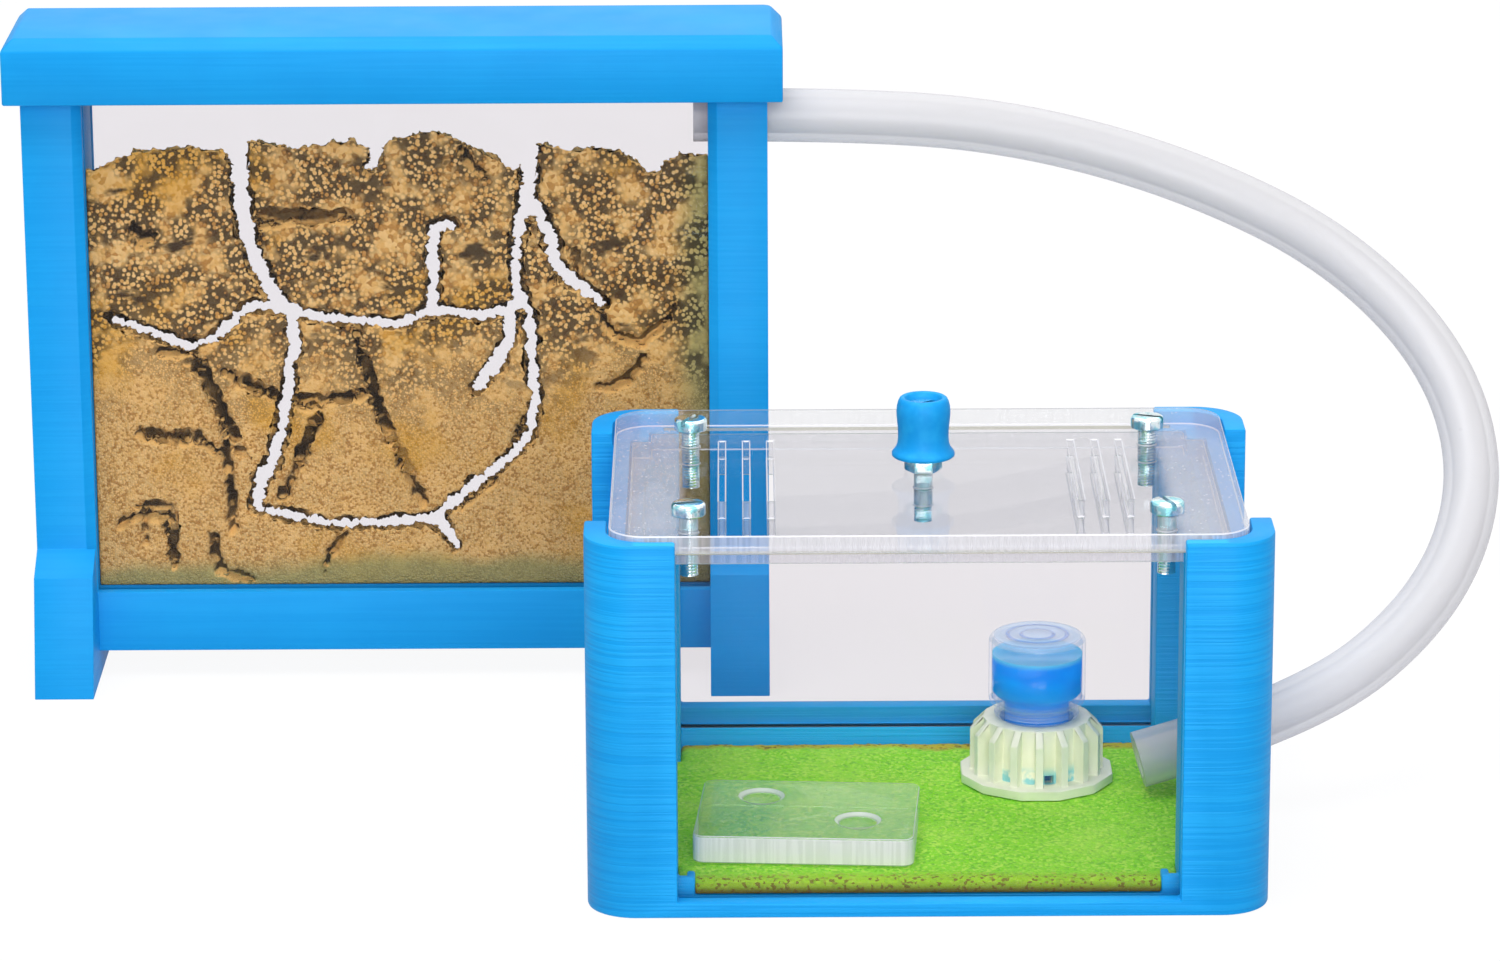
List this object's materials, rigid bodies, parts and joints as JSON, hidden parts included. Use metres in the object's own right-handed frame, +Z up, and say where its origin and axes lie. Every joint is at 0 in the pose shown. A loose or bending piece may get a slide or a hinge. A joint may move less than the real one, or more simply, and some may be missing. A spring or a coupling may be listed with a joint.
{
  "type": "ant habitat",
  "caption": "Ant habitat: a tall glass-walled sand nest in a printed frame with feet, joined by a looping hose to a low lidded foraging arena with feeder and dish.",
  "frame": {"origin": "middle of the footprint of both tanks without the hose, on the ground", "axes": "+X to the right across both tanks, +Y from the arena's front towards the nest behind it, +Z up"},
  "size_m": [0.2597, 0.158, 0.1182],
  "materials": {
    "blue_print": "3D-printed, fine layer lines, satin",
    "clear_acrylic": "laser-cut clear acrylic, polished",
    "nest_glass": "clear sheet glass",
    "golden_sand": "damp golden sand and loam, grainy",
    "green_sand": "fine lime green decorative sand",
    "milky_hose": "translucent milky soft hose",
    "zinc_screw": "bright zinc plating",
    "blue_rubber": "smooth soft rubber",
    "white_plastic": "moulded ivory white plastic",
    "bottle_plastic": "clear moulded plastic",
    "blue_water": "blue tinted drinking water"
  },
  "bodies": {
    "habitat": {"arena_body": "blue_print", "arena_front_pane": "clear_acrylic", "arena_rear_pane": "clear_acrylic", "arena_sand": "green_sand", "nest_frame": "blue_print", "nest_front_glass": "nest_glass", "nest_rear_glass": "nest_glass", "nest_sand": "golden_sand", "connecting_hose": "milky_hose"},
    "nest_cover": {"nest_roof": "blue_print"},
    "arena_lid": {"lid_top_plate": "clear_acrylic", "lid_lower_plate": "clear_acrylic", "lid_screws": "zinc_screw", "lid_knob": "blue_rubber", "knob_nut": "zinc_screw", "knob_screw": "zinc_screw"},
    "feeder": {"feeder_base": "white_plastic"},
    "bottle": {"feeder_bottle": "bottle_plastic", "feeder_water": "blue_water"},
    "dish": {"feeding_dish": "clear_acrylic"}
  },
  "joints": [
    {"name": "roof_lift", "type": "slide", "parent": "habitat", "child": "nest_cover", "axis": [0, 0, 1], "range_m": [0, 0.04]},
    {"name": "lid_lift", "type": "slide", "parent": "habitat", "child": "arena_lid", "axis": [0, 0, 1], "range_m": [0, 0.06]},
    {"name": "feeder_lift", "type": "slide", "parent": "habitat", "child": "feeder", "axis": [0, 0, 1], "range_m": [0, 0.012]},
    {"name": "bottle_pull", "type": "slide", "parent": "feeder", "child": "bottle", "axis": [0, 0, 1], "range_m": [0, 0.012]},
    {"name": "dish_lift", "type": "slide", "parent": "habitat", "child": "dish", "axis": [0, 0, 1], "range_m": [0, 0.03]}
  ]
}
